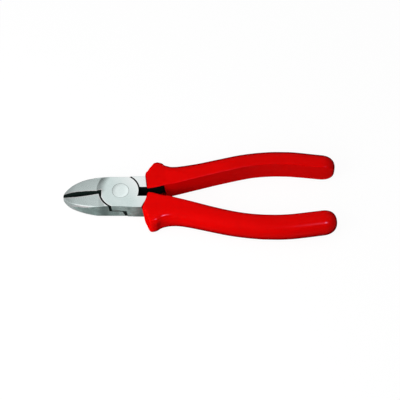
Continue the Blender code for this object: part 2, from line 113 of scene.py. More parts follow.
# Grip tables:
#   line     x, centre line out from the cut
#   section  x, inner half width, outer half width, half height, power of the superellipse
#   flat     x, distance from the centre line to the flat along the inner side
#   bulge    x, width added to the outer half
#   corner   x, radius where that flat meets the round
#   square   least power of the section's inner half
GRIP_LINE_START = ((12.0, 6.9), (18.0, 7.5), (24.0, 8.75), (30.0, 10.1), (34.6, 11.06),
                   (41.7, 12.7), (48.7, 14.5))
GRIP_TABLES = {
    "lower": dict(
        line=GRIP_LINE_START + (
            (55.7, 16.3), (62.7, 18.0), (69.7, 19.4), (76.7, 20.4), (83.8, 21.0), (90.8, 21.1),
            (97.8, 20.8), (104.8, 20.0), (111.8, 19.0), (118.8, 18.0), (127.0, 17.2)),
        section=(
            (12.5, 6.9, 4.6, 7.45, 6.5), (15.07, 6.9, 8.4, 7.5, 6.5),
            (16.8, 6.9, 12.3, 7.5, 6.5), (17.6, 6.9, 13.3, 7.5, 6.5),
            (18.4, 6.95, 13.5, 7.5, 6.3), (20.9, 7.0, 12.5, 7.5, 5.5),
            (24.4, 7.15, 9.8, 7.4, 4.7), (27.9, 7.2, 8.4, 7.3, 4.1),
            (31.4, 7.0, 7.6, 7.2, 3.6), (38.0, 6.7, 6.9, 7.2, 3.4),
            (48.0, 6.5, 6.5, 7.3, 3.2), (62.0, 6.25, 6.3, 7.35, 3.1),
            (80.0, 6.15, 6.2, 7.4, 3.0), (100.0, 6.35, 6.35, 7.45, 2.9),
            (114.0, 6.4, 6.4, 7.4, 2.8), (127.0, 6.3, 6.3, 7.3, 2.7)),
        flat=((12.0, 8.6), (22.0, 8.2), (25.0, 7.3), (28.0, 6.5), (32.0, 6.05), (38.0, 5.85),
              (46.0, 5.75), (57.0, 5.7), (68.0, 5.85), (75.0, 6.2), (81.0, 6.5),
              (93.0, 6.75), (105.0, 6.85), (115.0, 6.8), (127.0, 7.2)),
        bulge=((12.0, 0.1), (18.4, 0.2), (21.0, 0.45), (25.0, 0.6), (28.0, 0.65), (34.0, 0.7),
               (60.0, 0.7), (74.0, 0.5), (90.0, 0.42), (110.0, 0.42), (127.0, 0.4)),
        corner=((12.0, 0.3), (50.0, 0.5), (62.0, 0.8), (78.0, 1.6), (95.0, 2.4), (127.0, 2.6)),
        square=2.3),
    "upper": dict(
        line=GRIP_LINE_START + (
            (55.7, 16.4), (62.7, 18.2), (69.7, 19.9), (76.7, 21.1), (83.8, 21.9), (90.8, 22.25),
            (97.8, 22.15), (104.8, 21.6), (111.8, 20.8), (118.8, 20.0), (127.0, 19.4)),
        section=(
            (12.5, 6.9, 4.6, 7.45, 6.5), (15.07, 6.9, 5.9, 7.5, 6.5),
            (16.8, 6.9, 8.6, 7.5, 6.5), (18.2, 6.9, 10.4, 7.5, 6.4),
            (19.7, 6.95, 11.8, 7.5, 6.0), (20.9, 7.0, 11.75, 7.5, 5.5),
            (22.7, 7.05, 10.9, 7.45, 5.1), (24.4, 7.15, 9.9, 7.4, 4.7),
            (26.2, 7.25, 8.4, 7.35, 4.4), (27.9, 7.4, 8.0, 7.3, 4.1),
            (31.4, 7.5, 7.3, 7.2, 3.6), (38.0, 7.0, 7.0, 7.2, 3.4),
            (48.0, 6.5, 6.4, 7.2, 3.2), (62.0, 6.2, 6.2, 7.2, 3.1),
            (80.0, 6.15, 6.2, 7.2, 3.0), (100.0, 6.2, 6.25, 7.2, 2.9),
            (114.0, 6.2, 6.3, 7.15, 2.8), (127.0, 6.1, 6.1, 7.0, 2.7)),
        flat=((12.0, 7.2), (16.0, 6.5), (20.0, 6.25), (24.0, 5.8), (26.5, 5.5), (30.0, 5.55),
              (35.0, 5.2), (39.0, 4.9), (44.0, 4.7), (54.0, 4.5), (68.0, 4.45), (78.0, 4.15),
              (92.0, 4.2), (107.0, 4.25), (116.0, 4.25), (127.0, 4.3)),
        bulge=((12.0, 0.1), (16.0, 0.15), (19.4, 0.4), (21.8, 0.85), (25.3, 1.45), (27.6, 1.1),
               (31.0, 0.8), (60.0, 0.72), (74.0, 0.7), (100.0, 0.7), (112.0, 0.5),
               (127.0, 0.6)),
        corner=((12.0, 0.3), (30.0, 0.4), (100.0, 0.5), (127.0, 0.8)),
        square=6.0),
}

# turn is -1 for the lever turned over about x.
# bevels: side of the cutting edge in z, slope in degrees, x where the bevel stops
SIDES = (
    SimpleNamespace(name="front", other="back", turn=1, grip="lower",
                    bevels=((1, 56.5, -11.3), (-1, 78.0, -12.1))),
    SimpleNamespace(name="back", other="front", turn=-1, grip="upper",
                    bevels=((1, 78.0, -12.1), (-1, 56.5, -12.1))),
)


# ------------------------------------------------------------------ curves through tables
CURVE_SAMPLES = 1500


def curve(rows, column=1):
    """A function of x through the rows: a monotone cubic, looked up in a fine table."""
    rows = sorted(rows)
    x = np.array([row[0] for row in rows], float)
    y = np.array([row[column] for row in rows], float)
    gap = np.diff(x)
    chord = np.diff(y) / gap
    slope = np.empty(len(x))
    slope[0], slope[-1] = chord[0], chord[-1]
    with np.errstate(divide="ignore", invalid="ignore"):
        mean = 2 * chord[:-1] * chord[1:] / (chord[:-1] + chord[1:])
    slope[1:-1] = np.where(chord[:-1] * chord[1:] > 0, mean, 0.0)
    fine_x = np.linspace(x[0], x[-1], CURVE_SAMPLES)
    i = np.clip(np.searchsorted(x, fine_x, "right") - 1, 0, len(gap) - 1)
    t = (fine_x - x[i]) / gap[i]
    fine_y = (y[i] * (2 * t**3 - 3 * t**2 + 1) + slope[i] * gap[i] * (t**3 - 2 * t**2 + t)
              + y[i + 1] * (3 * t**2 - 2 * t**3) + slope[i + 1] * gap[i] * (t**3 - t**2))
    return lambda at: np.interp(at, fine_x, fine_y)


def soft(rows, width, column=1):
    """The same curve with its bends eased over a width in mm."""
    base = curve(rows, column)
    fine_x = np.linspace(min(row[0] for row in rows), max(row[0] for row in rows),
                         CURVE_SAMPLES)
    offsets = np.linspace(-2, 2, 17)
    weights = np.exp(-offsets**2)
    weights /= weights.sum()
    fine_y = sum(weight * base(fine_x + offset * width / 2)
                 for weight, offset in zip(weights, offsets))
    return lambda at: np.interp(at, fine_x, fine_y)


def slope_of(line, reach=0.4):
    return lambda at: (line(at + reach) - line(at - reach)) / (2 * reach)


def smoothstep(t):
    t = np.clip(t, 0, 1)
    return t * t * (3 - 2 * t)


def between(start, end, share):
    return start + (end - start) * share


def grip_curves(tables):
    line = curve(tables["line"])
    return SimpleNamespace(
        line=line, slope=slope_of(line),
        section=[soft(tables["section"], 0.45, column) for column in (1, 2, 3, 4)],
        flat=curve(tables["flat"]), bulge=curve(tables["bulge"]),
        corner=curve(tables["corner"]), square=tables["square"])


nose = curve(NOSE)
jaw_swell = curve(JAW_SWELL)
edge_height = soft(EDGE_Z, 3.0)
band_across, band_down = (soft(BAND, 1.5, column) for column in (1, 2))
tang_line, tang_half_width, tang_half_thickness = (curve(TANG, column) for column in (1, 2, 3))
tang_slope = slope_of(tang_line)
GRIPS = {name: grip_curves(tables) for name, tables in GRIP_TABLES.items()}


# ------------------------------------------------------------------ distance fields
# A field is a distance in mm to a surface, negative inside the solid.
def meet(a, b, radius):
    """Intersection with its edge rounded."""
    return (np.minimum(-radius, np.maximum(a, b))
            + np.hypot(np.maximum(a + radius, 0), np.maximum(b + radius, 0)))


def join(a, b, radius):
    """Union with its corner filled."""
    return -meet(-a, -b, radius)


def polygon_distance(x, y, points):
    """Signed distance to a closed polygon."""
    best = np.full(x.shape, 1e9)
    inside = np.zeros(x.shape, bool)
    for (ax, ay), (bx, by) in zip(points, points[1:] + points[:1]):
        side_x, side_y = bx - ax, by - ay
        from_x, from_y = x - ax, y - ay
        t = (from_x * side_x + from_y * side_y) / (side_x * side_x + side_y * side_y)
        t = np.clip(t, 0, 1)
        best = np.minimum(best, (from_x - side_x * t) ** 2 + (from_y - side_y * t) ** 2)
        if side_y != 0:
            crosses = (ay <= y) != (by <= y)
            inside ^= crosses & (x < ax + (y - ay) * side_x / side_y)
    return np.where(inside, -1, 1) * np.sqrt(best)


def outline_points(side):
    """Plan outline of the head and shank, jaw tip included."""
    cut_y = side.cut_y
    outer, inner = cut_y - HEAD_HALF_WIDTH, cut_y + HEAD_HALF_WIDTH
    points = [(-33.9, cut_y - 4.0), (-14.0, cut_y - 4.0), (-14.0, outer), (0.0, outer),
              (4.5, outer - 0.3), (8.5, outer - 0.5), (19.0, cut_y - RIM_OUT - 0.05),
              (19.0, inner), (-9.0, inner)]
    for x in np.linspace(-12.0, -31.0, 40):
        swell = jaw_swell(x) if side.turn > 0 else 0.0
        points.append((float(x), float(cut_y + nose(x) + swell)))
    for x in TIP_X + 2.4 * np.linspace(1, 0, 14) ** 2:
        points.append((float(x), float(cut_y + nose(x))))
    return points + [(TIP_X, cut_y + 0.2), (-33.6, cut_y - 2.0)]


def outline_field(points):
    """Distance to the outline, looked up in a fine table."""
    low_x, high_x, low_y, high_y, step = -36.0, 22.0, -14.0, 14.0, 0.05
    columns, rows = 1161, 561
    table = polygon_distance(*np.meshgrid(np.linspace(low_x, high_x, columns),
                                          np.linspace(low_y, high_y, rows),
                                          indexing="ij"), points)

    def distance(x, y):
        across = np.clip((x - low_x) / step, 0, columns - 1.001)
        along = np.clip((y - low_y) / step, 0, rows - 1.001)
        i, j = across.astype(int), along.astype(int)
        across, along = across - i, along - j
        return ((table[i, j] * (1 - across) + table[i + 1, j] * across) * (1 - along)
                + (table[i, j + 1] * (1 - across) + table[i + 1, j + 1] * across) * along)
    return distance


for side in SIDES:
    side.cut_y = CUT_Y * side.turn
    side.outline = outline_field(outline_points(side))


# how far the jaw's faces lie below the flat of the head
JAW_SLOPE = 0.168


def tip_drop(x):
    return 0.0012 * np.clip(-12.0 - x, 0, None) ** 2 + 0.011 * np.clip(-26.0 - x, 0, None) ** 2


def creased_drop(x, y):
    """Front lever's upper face: an arched crease that the flat rolls down into."""
    crease = -13.85 + 0.047 * np.clip(y - 1.6, 0, 7.2) ** 2 - 0.6 * np.clip(0.5 - y, 0, None)
    run = crease - x
    roll = 0.0183 * np.clip(run + 6.0, 0, 6.0) ** 2.3
    return tip_drop(x) + roll + JAW_SLOPE * np.clip(run, 0, None)


def plain_drop(x, ease=0.25):
    """Back lever's upper face: a straight slope with its start eased."""
    fall = JAW_SLOPE * (-9.1 - x)
    return tip_drop(x) + (0.5 * (fall + np.sqrt(fall * fall + ease * ease))
                          - 0.5 * ease * np.exp(-np.abs(fall) / ease))


def under_drop(x):
    """The lower face of either lever, as it lies."""
    run = np.clip(-11.6 - x, 0, None)
    return 0.0022 * run**2 + 0.024 * run


def face_distance(x, y, z, side):
    if side.turn > 0:
        drop_above, drop_below = creased_drop(x, y), under_drop(x)
    else:
        drop_above, drop_below = under_drop(x), plain_drop(x)
    steepness = 0.985
    return np.maximum((z - (MID - drop_above)) * steepness,
                      (-z - (MID - drop_below)) * steepness)


def bevel_distance(x, y, z, side, way, slope, stop):
    """Steel left by a bevel that runs up to the cutting edge."""
    angle = math.radians(slope)
    rise = way * (z - side.turn * edge_height(x))
    plane = (y - (side.cut_y + CUT_GAP / 2)) * math.sin(angle) - rise * math.cos(angle)
    return -np.maximum.reduce([plane, x - stop, y - 6 - side.cut_y, -rise - 0.02])


def lap_distances(x, y, z, side):
    """The lever's share of the head, its half of the plan, and the edge of its lap plate."""
    radius = np.hypot(x, y)
    share = np.clip(np.abs(z) / MID, 0, 1)
    own, other = PLATE_HANDLE_SIDE[side.name], PLATE_HANDLE_SIDE[side.other]
    jaw_plate = between(*PLATE_JAW_SIDE, share)
    pocket_start = max(own[0], other[0])
    left = x < 0
    plate = np.where(left, radius - jaw_plate, radius - between(*own, share))
    pocket = np.where(left, jaw_plate + SEAM_GAP - radius,
                      between(pocket_start, other[1], share) + SEAM_GAP - radius)
    half = np.where(left, (side.cut_y + CUT_GAP / 2) - y, y - (side.cut_y - SHANK_IN))
    above = np.minimum(half, plate)
    below = np.maximum(half, pocket)
    lap = z + LAP_GAP / 2
    own_share = np.minimum(np.maximum(below, lap), np.maximum(above, -lap + LAP_GAP))
    return np.minimum(own_share, np.maximum(above, below)), half, plate


def chamfer_distance(x, z, side, outline, faces):
    """A steep ground band along the outer edges, slighter on the front lever's upper face."""
    across, down = band_across(x), band_down(x)
    if side.turn > 0:
        across = np.where(z > 0, 0.12 + 0.3 * (across - 0.12), across)
        down = np.where(z > 0, 0.12 + 0.3 * (down - 0.12), down)
    return (outline / across + faces / down + 1) / np.hypot(1 / across, 1 / down)


def tang_distance(x, y, z, cut_y, grow=0.0):
    slope = tang_slope(x)
    across = (y - (cut_y - tang_line(x))) / np.sqrt(1 + slope * slope)
    over_y = np.abs(across) - (tang_half_width(x) + grow - TANG_ROUND)
    over_z = np.abs(z) - (tang_half_thickness(x) + grow - TANG_ROUND)
    bar = (np.hypot(np.maximum(over_y, 0), np.maximum(over_z, 0))
           + np.minimum(np.maximum(over_y, over_z), 0) - TANG_ROUND)
    return np.maximum(meet(bar, x - (TANG_END + grow), 1.2), TANG_START - x)


def rim_x(up, across):
    """x of the grip's front rim: up runs bottom to top, across runs outer to inner."""
    return between(between(*RIM_OUTER, up), between(*RIM_INNER, up), across)


def lever_surfaces(x, y, z, side):
    """A lever's body, with the surfaces that its paint is worked out from."""
    outline = side.outline(x, y)
    faces = face_distance(x, y, z, side)
    chamfer = chamfer_distance(x, z, side, outline, faces)
    jaw_round = 0.08 + 0.42 * smoothstep((-13.5 - x) / 3.0) * smoothstep((x + 29.5) / 5.0)
    shell = meet(meet(outline, faces, 0.12), chamfer, np.where(x < -12.5, jaw_round, 0.08))
    own_share, half, plate = lap_distances(x, y, z, side)
    body = meet(shell, own_share, 0.04)
    bevels = [bevel_distance(x, y, z, side, *bevel) for bevel in side.bevels]
    for bevel in bevels:
        body = meet(body, bevel, 0.03)
    # countersunk rivet hole
    head = np.where(z > RIVET_HEAD_Z, RIVET_HEAD_R, RIVET_HEAD_R - (RIVET_HEAD_Z - z) * 0.895)
    body = meet(body, np.maximum(head, RIVET_R) + 0.05 - np.hypot(x, y), 0.04)
    # the broad shank stops in front of the grip, and the tang goes on
    up = (np.clip(z / MID, -1, 1) + 1) / 2
    across = (y - (side.cut_y - RIM_OUT)) / (RIM_OUT - SHANK_IN)
    body = meet(body, (x - (rim_x(up, across) - 0.2)) * 0.9, 0.25)
    tang = tang_distance(x, y, z, side.cut_y)
    return SimpleNamespace(body=join(body, tang, 0.3), shell=shell, outline=outline,
                           faces=faces, chamfer=chamfer, own_share=own_share, half=half,
                           plate=plate, bevels=bevels, tang=tang)


def grip_surfaces(x, y, z, side):
    """A grip's body, with the surfaces that its paint is worked out from."""
    grip, cut_y = GRIPS[side.grip], side.cut_y
    # nearest station on the centre line, and the distance across from it
    station = x
    for _ in range(3):
        slope = grip.slope(station) * smoothstep((station - 20.0) / 14.0)
        stretch = np.sqrt(1 + slope * slope)
        offset = (y - (cut_y - grip.line(station))) * stretch
        station = x - (slope / stretch) * offset
    inner_half, outer_half, half_height, power = (column(station) for column in grip.section)
    # away from the guard the sleeve is round, with a flat cut along its inner side
    change = smoothstep((station - 22.0) / 16.0)
    late = smoothstep((station - 26.0) / 30.0)
    outer_half = outer_half + grip.bulge(station)
    widened = outer_half + 0.6 * smoothstep((station - 60.0) / 30.0)
    half_width = np.where(offset > 0, between(inner_half, widened, change), outer_half)
    inner_power = np.maximum(between(power, grip.square, late), grip.square)
    power = np.where(offset > 0, inner_power, between(power, 2.3, change))
    # superellipse section, closed by a superelliptic cap at the far end
    part_y = np.maximum(np.abs(offset) / half_width, 1e-4)
    part_z = np.maximum(np.abs(z) / half_height, 1e-4)
    ring = (part_y**power + part_z**power) ** (1 / power)
    grow_y = (part_y / ring) ** (power - 1) / half_width
    grow_z = (part_z / ring) ** (power - 1) / half_height
    end = np.clip(station - (GRIP_END - GRIP_CAP), 0, None) / GRIP_CAP
    end_power = 2.35
    size = (ring**end_power + end**end_power) ** (1 / end_power)
    steepness = np.sqrt((ring / size) ** (2 * end_power - 2) * (grow_y * grow_y + grow_z * grow_z)
                        + ((end / size) ** (end_power - 1) / GRIP_CAP) ** 2)
    outer = (size - 1) / steepness
    cap = 1 - np.clip(end, 0, 0.999) ** end_power
    flat = offset - grip.flat(station) * (0.7 + 0.3 * np.sqrt(cap))
    outer = meet(outer, flat, grip.corner(station))
    height = np.clip(z / half_height, -1, 1)
    across = (np.clip(offset / half_width, -1, 1) + 1) / 2
    rim = (rim_x((height + 1) / 2, across) - x) * 0.92
    # window in the inner wall: the steel of the tang shows here
    opening = meet(x - (WINDOW_X + 0.75 * height), np.abs(z) - 6.7, 0.5)
    window = np.maximum(opening, (tang_half_width(x) * 0.2) - offset)
    cavity = tang_distance(x, y, z, cut_y, CAVITY_CLEAR)
    body = meet(meet(meet(outer, rim, 0.45), -window, 0.35), -cavity, 0.15)
    return SimpleNamespace(body=body, rim=rim, window=window, cavity=cavity)


# ------------------------------------------------------------------ meshing
CORNERS = [(i, j, k) for k in (0, 1) for j in (0, 1) for i in (0, 1)]
CENTRE_PULL = 0.12      # how strongly a vertex is drawn to the middle of its crossings


def sample_grid(field, xs, ys, zs):
    """The field at every grid point, taken in slabs to save memory."""
    grid = np.empty((len(xs), len(ys), len(zs)), np.float32)
    slab = max(1, int(1.2e6 // (len(ys) * len(zs))))
    for i in range(0, len(xs), slab):
        grid[i:i + slab] = field(*np.meshgrid(xs[i:i + slab], ys, zs, indexing="ij"))
    return grid


def crossed_cells(grid):
    """The cells that the surface passes through, and each cell's number or -1."""
    inside = grid < 0
    count = np.zeros(tuple(n - 1 for n in grid.shape), np.int8)
    for i, j, k in CORNERS:
        count += inside[i:i + count.shape[0], j:j + count.shape[1], k:k + count.shape[2]]
    cells = np.argwhere((count > 0) & (count < 8))
    number = np.full(count.shape, -1, np.int64)
    number[tuple(cells.T)] = np.arange(len(cells))
    return cells, number


def edge_crossings(grid, lines):
    """A point on each grid edge that changes sign, and those edges for each axis."""
    points, edges, start = [], [], 0
    for axis in range(3):
        first, second = [slice(None)] * 3, [slice(None)] * 3
        first[axis], second[axis] = slice(0, -1), slice(1, None)
        low, high = grid[tuple(first)], grid[tuple(second)]
        where = np.argwhere((low < 0) != (high < 0))
        index = tuple(where.T)
        low_value, high_value = low[index].astype(float), high[index].astype(float)
        share = low_value / (low_value - high_value)
        point = np.stack([lines[c][where[:, c]] for c in range(3)], 1)
        next_line = lines[axis][where[:, axis] + 1]
        point[:, axis] = point[:, axis] + share * (next_line - point[:, axis])
        lookup = np.full(low.shape, -1, np.int64)
        lookup[index] = start + np.arange(len(where))
        start += len(where)
        points.append(point)
        edges.append((where, low_value < 0, lookup))
    return np.concatenate(points), edges


def settle(field, points, reach=0.02, batch=400000):
    """Moves the points onto the surface, and finds its normals there."""
    def sample(at):
        out = np.empty(len(at))
        for i in range(0, len(at), batch):
            out[i:i + batch] = field(*at[i:i + batch].T)
        return out
    gradient = np.empty_like(points)
    for axis in range(3):
        shift = np.zeros(3)
        shift[axis] = reach
        gradient[:, axis] = (sample(points + shift) - sample(points - shift)) / (2 * reach)
    value = sample(points)
    square = (gradient**2).sum(1)
    near = (np.abs(value) < 0.3)[:, None]
    points = points - (value / np.maximum(square, 0.05))[:, None] * gradient * near
    return points, gradient / np.sqrt(np.maximum(square, 1e-9))[:, None]


def cell_vertices(cells, edges, points, normals, lines):
    """One vertex in each cell, where the planes through its crossings best meet."""
    matrix = np.zeros((len(cells), 3, 3))
    target = np.zeros((len(cells), 3))
    centre = np.zeros((len(cells), 3))
    count = np.zeros(len(cells))
    for axis in range(3):
        for corner in CORNERS:
            if corner[axis]:
                continue
            index = edges[axis][2][tuple((cells + np.array(corner)).T)]
            hit = index >= 0
            point, normal = points[index[hit]], normals[index[hit]]
            matrix[hit] += normal[:, :, None] * normal[:, None, :]
            target[hit] += normal * (normal * point).sum(1)[:, None]
            centre[hit] += point
            count[hit] += 1
    centre /= count[:, None]
    matrix += np.eye(3) * CENTRE_PULL
    target += centre * CENTRE_PULL
    verts = np.linalg.solve(matrix, target[:, :, None])[:, :, 0]
    low = np.stack([lines[c][cells[:, c]] for c in range(3)], 1)
    high = np.stack([lines[c][cells[:, c] + 1] for c in range(3)], 1)
    return np.clip(verts, low, high)


def cell_quads(number, edges):
    """A quad round each crossed grid edge, through the four cells that share it."""
    quads = []
    for axis, (where, starts_inside, _) in enumerate(edges):
        b, c = (axis + 1) % 3, (axis + 2) % 3
        kept = ((where[:, b] > 0) & (where[:, c] > 0)
                & (where[:, b] < number.shape[b]) & (where[:, c] < number.shape[c]))
        corners = []
        for back_b, back_c in ((1, 1), (0, 1), (0, 0), (1, 0)):
            cell = where[kept]
            cell[:, b] -= back_b
            cell[:, c] -= back_c
            corners.append(number[tuple(cell.T)])
        quad = np.stack(corners, 1)
        outward = starts_inside[kept]
        quad[~outward] = quad[~outward][:, ::-1]
        quads.append(quad)
    return np.concatenate(quads)


def contour(field, *lines):
    """Dual contouring: a quad mesh of the field's zero surface that keeps its edges crisp."""
    grid = sample_grid(field, *lines)
    cells, number = crossed_cells(grid)
    points, edges = edge_crossings(grid, lines)
    points, normals = settle(field, points)
    return cell_vertices(cells, edges, points, normals, lines), cell_quads(number, edges)


def spaced(start, *runs):
    """Grid lines: (stop, step) runs that follow one another from the start."""
    out = [start]
    for stop, step in runs:
        count = max(1, int(round((stop - out[-1]) / step)))
        out += list(np.linspace(out[-1], stop, count + 1)[1:])
    return np.array(out, float)


def to_world(verts, turn):
    """From a lever's own frame, in mm, to the scene."""
    world = np.array(verts, float)
    world[:, 1:] *= turn
    world[:, 2] += MID
    return world * MM


def add_object(name, mesh, material):
    obj = bpy.data.objects.new(name, mesh)
    bpy.context.scene.collection.objects.link(obj)
    mesh.materials.append(material)
    return obj


def quad_object(name, verts, quads, material):
    mesh = bpy.data.meshes.new(name)
    mesh.vertices.add(len(verts))
    mesh.vertices.foreach_set("co", np.asarray(verts, np.float32).ravel())
    quads = np.asarray(quads, np.int32)
    mesh.loops.add(quads.size)
    mesh.loops.foreach_set("vertex_index", quads.ravel())
    mesh.polygons.add(len(quads))
    mesh.polygons.foreach_set("loop_start", np.arange(0, quads.size, 4, dtype=np.int32))
    mesh.update(calc_edges=True)
    mesh.validate()
    mesh.polygons.foreach_set("use_smooth", np.full(len(mesh.polygons), True))
    return add_object(name, mesh, material)


def paint(obj, **layers):
    for name, values in layers.items():
        attribute = obj.data.attributes.new(name, "FLOAT", "POINT")
        attribute.data.foreach_set("value", np.asarray(values, np.float32))


def attach(obj, body, piece):
    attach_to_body(obj, body)
    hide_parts(piece)


# ------------------------------------------------------------------ materials
class Nodes:
    """Short names for building the node tree of a material or world."""

    def __init__(self, owner, shader="Principled BSDF"):
        owner.use_nodes = True
        self.owner = owner
        self.tree = owner.node_tree
        self.shader = self.tree.nodes[shader]

    def add(self, kind, **settings):
        node = self.tree.nodes.new(kind)
        for key, value in settings.items():
            setattr(node, key, value)
        return node

    def feed(self, node, inputs):
        """Links or sets each input."""
        for socket, value in inputs.items():
            if isinstance(value, bpy.types.NodeSocket):
                self.tree.links.new(value, node.inputs[socket])
            else:
                node.inputs[socket].default_value = value

    def calc(self, operation, a, b=0.0, clamp=False):
        node = self.add("ShaderNodeMath", operation=operation, use_clamp=clamp)
        self.feed(node, {0: a, 1: b})
        return node.outputs[0]

    def mix(self, factor, a, b):
        """Colour a to colour b."""
        node = self.add("ShaderNodeMix", data_type="RGBA", blend_type="MIX")
        a, b = (c if isinstance(c, bpy.types.NodeSocket) else (*c, 1.0) for c in (a, b))
        self.feed(node, {0: factor, 6: a, 7: b})
        return node.outputs[2]

    def blend(self, factor, a, b):
        """Number a to number b."""
        node = self.add("ShaderNodeMix", data_type="FLOAT")
        self.feed(node, {0: factor, 2: a, 3: b})
        return node.outputs[0]

    def mix_shaders(self, factor, a, b):
        node = self.add("ShaderNodeMixShader")
        self.feed(node, {0: factor, 1: a, 2: b})
        return node.outputs[0]

    def attribute(self, name):
        return self.add("ShaderNodeAttribute", attribute_name=name).outputs["Fac"]

    def place(self, scale=(1, 1, 1), turn=(0, 0, 0)):
        coords = self.add("ShaderNodeTexCoord")
        node = self.add("ShaderNodeMapping")
        self.feed(node, {"Scale": scale, "Rotation": turn, "Vector": coords.outputs["Object"]})
        return node.outputs[0]

    def axes(self, vector):
        node = self.add("ShaderNodeSeparateXYZ")
        self.feed(node, {0: vector})
        return node.outputs

    def radius(self, vector):
        """Distance from the z axis."""
        x, y, _ = self.axes(vector)
        return self.calc("SQRT", self.calc("ADD", self.calc("MULTIPLY", x, x),
                                           self.calc("MULTIPLY", y, y)))

    def noise(self, vector, scale, detail=4.0, rough=0.55, distortion=0.0):
        node = self.add("ShaderNodeTexNoise")
        self.feed(node, {"Vector": vector, "Scale": scale, "Detail": detail,
                         "Roughness": rough, "Distortion": distortion})
        return node.outputs["Fac"]

    def span(self, value, limits, to=(0.0, 1.0), **settings):
        """Carries the range between the limits to another range."""
        node = self.add("ShaderNodeMapRange", **settings)
        self.feed(node, dict(enumerate((value, *limits, *to))))
        return node.outputs[0]

    def facing(self):
        node = self.add("ShaderNodeLayerWeight")
        self.feed(node, {"Blend": 0.5})
        return node.outputs["Facing"]

    def bump(self, height, strength, distance, **normal):
        node = self.add("ShaderNodeBump")
        self.feed(node, {"Strength": strength, "Distance": distance, "Height": height})
        self.feed(node, {"Normal": link for link in normal.values()})
        return node.outputs[0]


# grain drawn out along x
GRAIN_SCALE = (900.0, 9000.0, 9000.0)


def steel_material(name):
    """Polished faces, dull flanks and blackened inner surfaces, with painted highlights and
    painted shade.
    """
    nodes = Nodes(bpy.data.materials.new(name))
    calc, mix, span, noise = nodes.calc, nodes.mix, nodes.span, nodes.noise
    black, flank, rubbed, facet, shine = (
        nodes.attribute(layer) for layer in ("black", "flank", "rub", "facet", "shine"))
    plain = nodes.place()
    cloud = noise(plain, scale=170.0, detail=5.0, rough=0.6, distortion=0.4)
    mottle = noise(plain, scale=420.0, detail=5.0, rough=0.65, distortion=0.5)
    fine = noise(plain, scale=1400.0, rough=0.6)
    lines = noise(nodes.place(GRAIN_SCALE), scale=1.0, detail=3.0, rough=0.65)
    grind = noise(nodes.place((6500.0, 800.0, 800.0), turn=(0, 0, 0.35)), scale=1.0,
                  detail=2.0, rough=0.6)
    pits = noise(plain, scale=2600.0, detail=2.0, rough=0.5)
    # polished steel: the grain runs along the head and across the jaws
    grain = nodes.blend(facet, lines, grind)
    bright = mix(span(cloud, (0.35, 0.7)), (0.665, 0.775, 0.76), (0.75, 0.85, 0.84))
    bright = mix(span(grain, (0.4, 0.8), to=(0.0, 0.35)), bright, (0.58, 0.67, 0.655))
    bright = mix(calc("MULTIPLY", facet, 0.82), bright, (0.88, 1.0, 0.985))
    x, y, _ = nodes.axes(plain)
    # painted light: lighter towards the shanks, and white along the painted highlights
    across = calc("ADD", x, calc("MULTIPLY", y, 0.8))
    bright = mix(span(across, (0.0, 0.013), to=(0.0, 0.8)), bright, (0.93, 0.97, 0.965))
    bright = mix(shine, bright, (1.0, 1.0, 1.0))
    # dull flank: cloudy, with darker mottling and specks
    dull = mix(span(cloud, (0.36, 0.66)), (0.48, 0.63, 0.60), (0.74, 0.92, 0.89))
    dull = mix(span(mottle, (0.42, 0.68), to=(0.0, 0.6)), dull, (0.25, 0.34, 0.32))
    dull = mix(span(fine, (0.55, 0.8), to=(0.0, 0.5)), dull, (0.21, 0.27, 0.255))
    # painted shade: two darker patches on the flank, one behind the jaws and one in front of the
    # grips
    flank_shade = calc("MULTIPLY", span(x, (-0.0150, -0.0098)),
                  span(x, (-0.0074, -0.0050), to=(1.0, 0.0)))
    flank_shade = calc("ADD", flank_shade, span(x, (0.0070, 0.0125)), clamp=True)
    flank_shade = calc("MULTIPLY", flank_shade, span(cloud, (0.3, 0.6), to=(0.45, 0.75)))
    dull = mix(flank_shade, dull, (0.15, 0.21, 0.20))
    outside = mix(flank, bright, dull)
    # blackened steel, greyer where it is rubbed
    dark = mix(span(fine, (0.35, 0.7)), (0.003, 0.008, 0.007), (0.010, 0.020, 0.017))
    rub = calc("MULTIPLY", rubbed, span(fine, (0.5, 0.75), to=(0.0, 0.5)))
    dark = mix(rub, dark, (0.04, 0.055, 0.052))
    # the border of the black is made ragged
    edge = calc("ADD", black, calc("MULTIPLY", calc("SUBTRACT", fine, 0.5), 0.2), clamp=True)
    edge = span(edge, (0.40, 0.60))
    polished = calc("ADD", span(grain, (0.3, 0.8), to=(0.25, 0.35)),
                    span(cloud, (0.3, 0.7), to=(-0.03, 0.04)))
    matt = calc("ADD", span(fine, (0.3, 0.7), to=(0.36, 0.5)),
                span(mottle, (0.3, 0.7), to=(-0.04, 0.06)))
    rough = nodes.blend(flank, polished, matt)
    relief = nodes.bump(grain, strength=0.10, distance=0.00002)
    relief = nodes.bump(mottle, strength=0.12, distance=0.00006, normal=relief)
    relief = nodes.bump(pits, strength=0.10, distance=0.00002, normal=relief)
    black_gloss = span(nodes.facing(), (0.25, 0.6), to=(0.12, 0.0))
    nodes.feed(nodes.shader, {
        "Base Color": mix(edge, outside, dark),
        "Metallic": nodes.blend(edge, nodes.blend(flank, 1.0, 0.92), 0.05),
        "Roughness": nodes.blend(edge, rough, span(fine, (0.3, 0.7), to=(0.45, 0.62))),
        "Specular IOR Level": nodes.blend(edge, 0.5, black_gloss),
        "Normal": relief})
    return nodes.owner


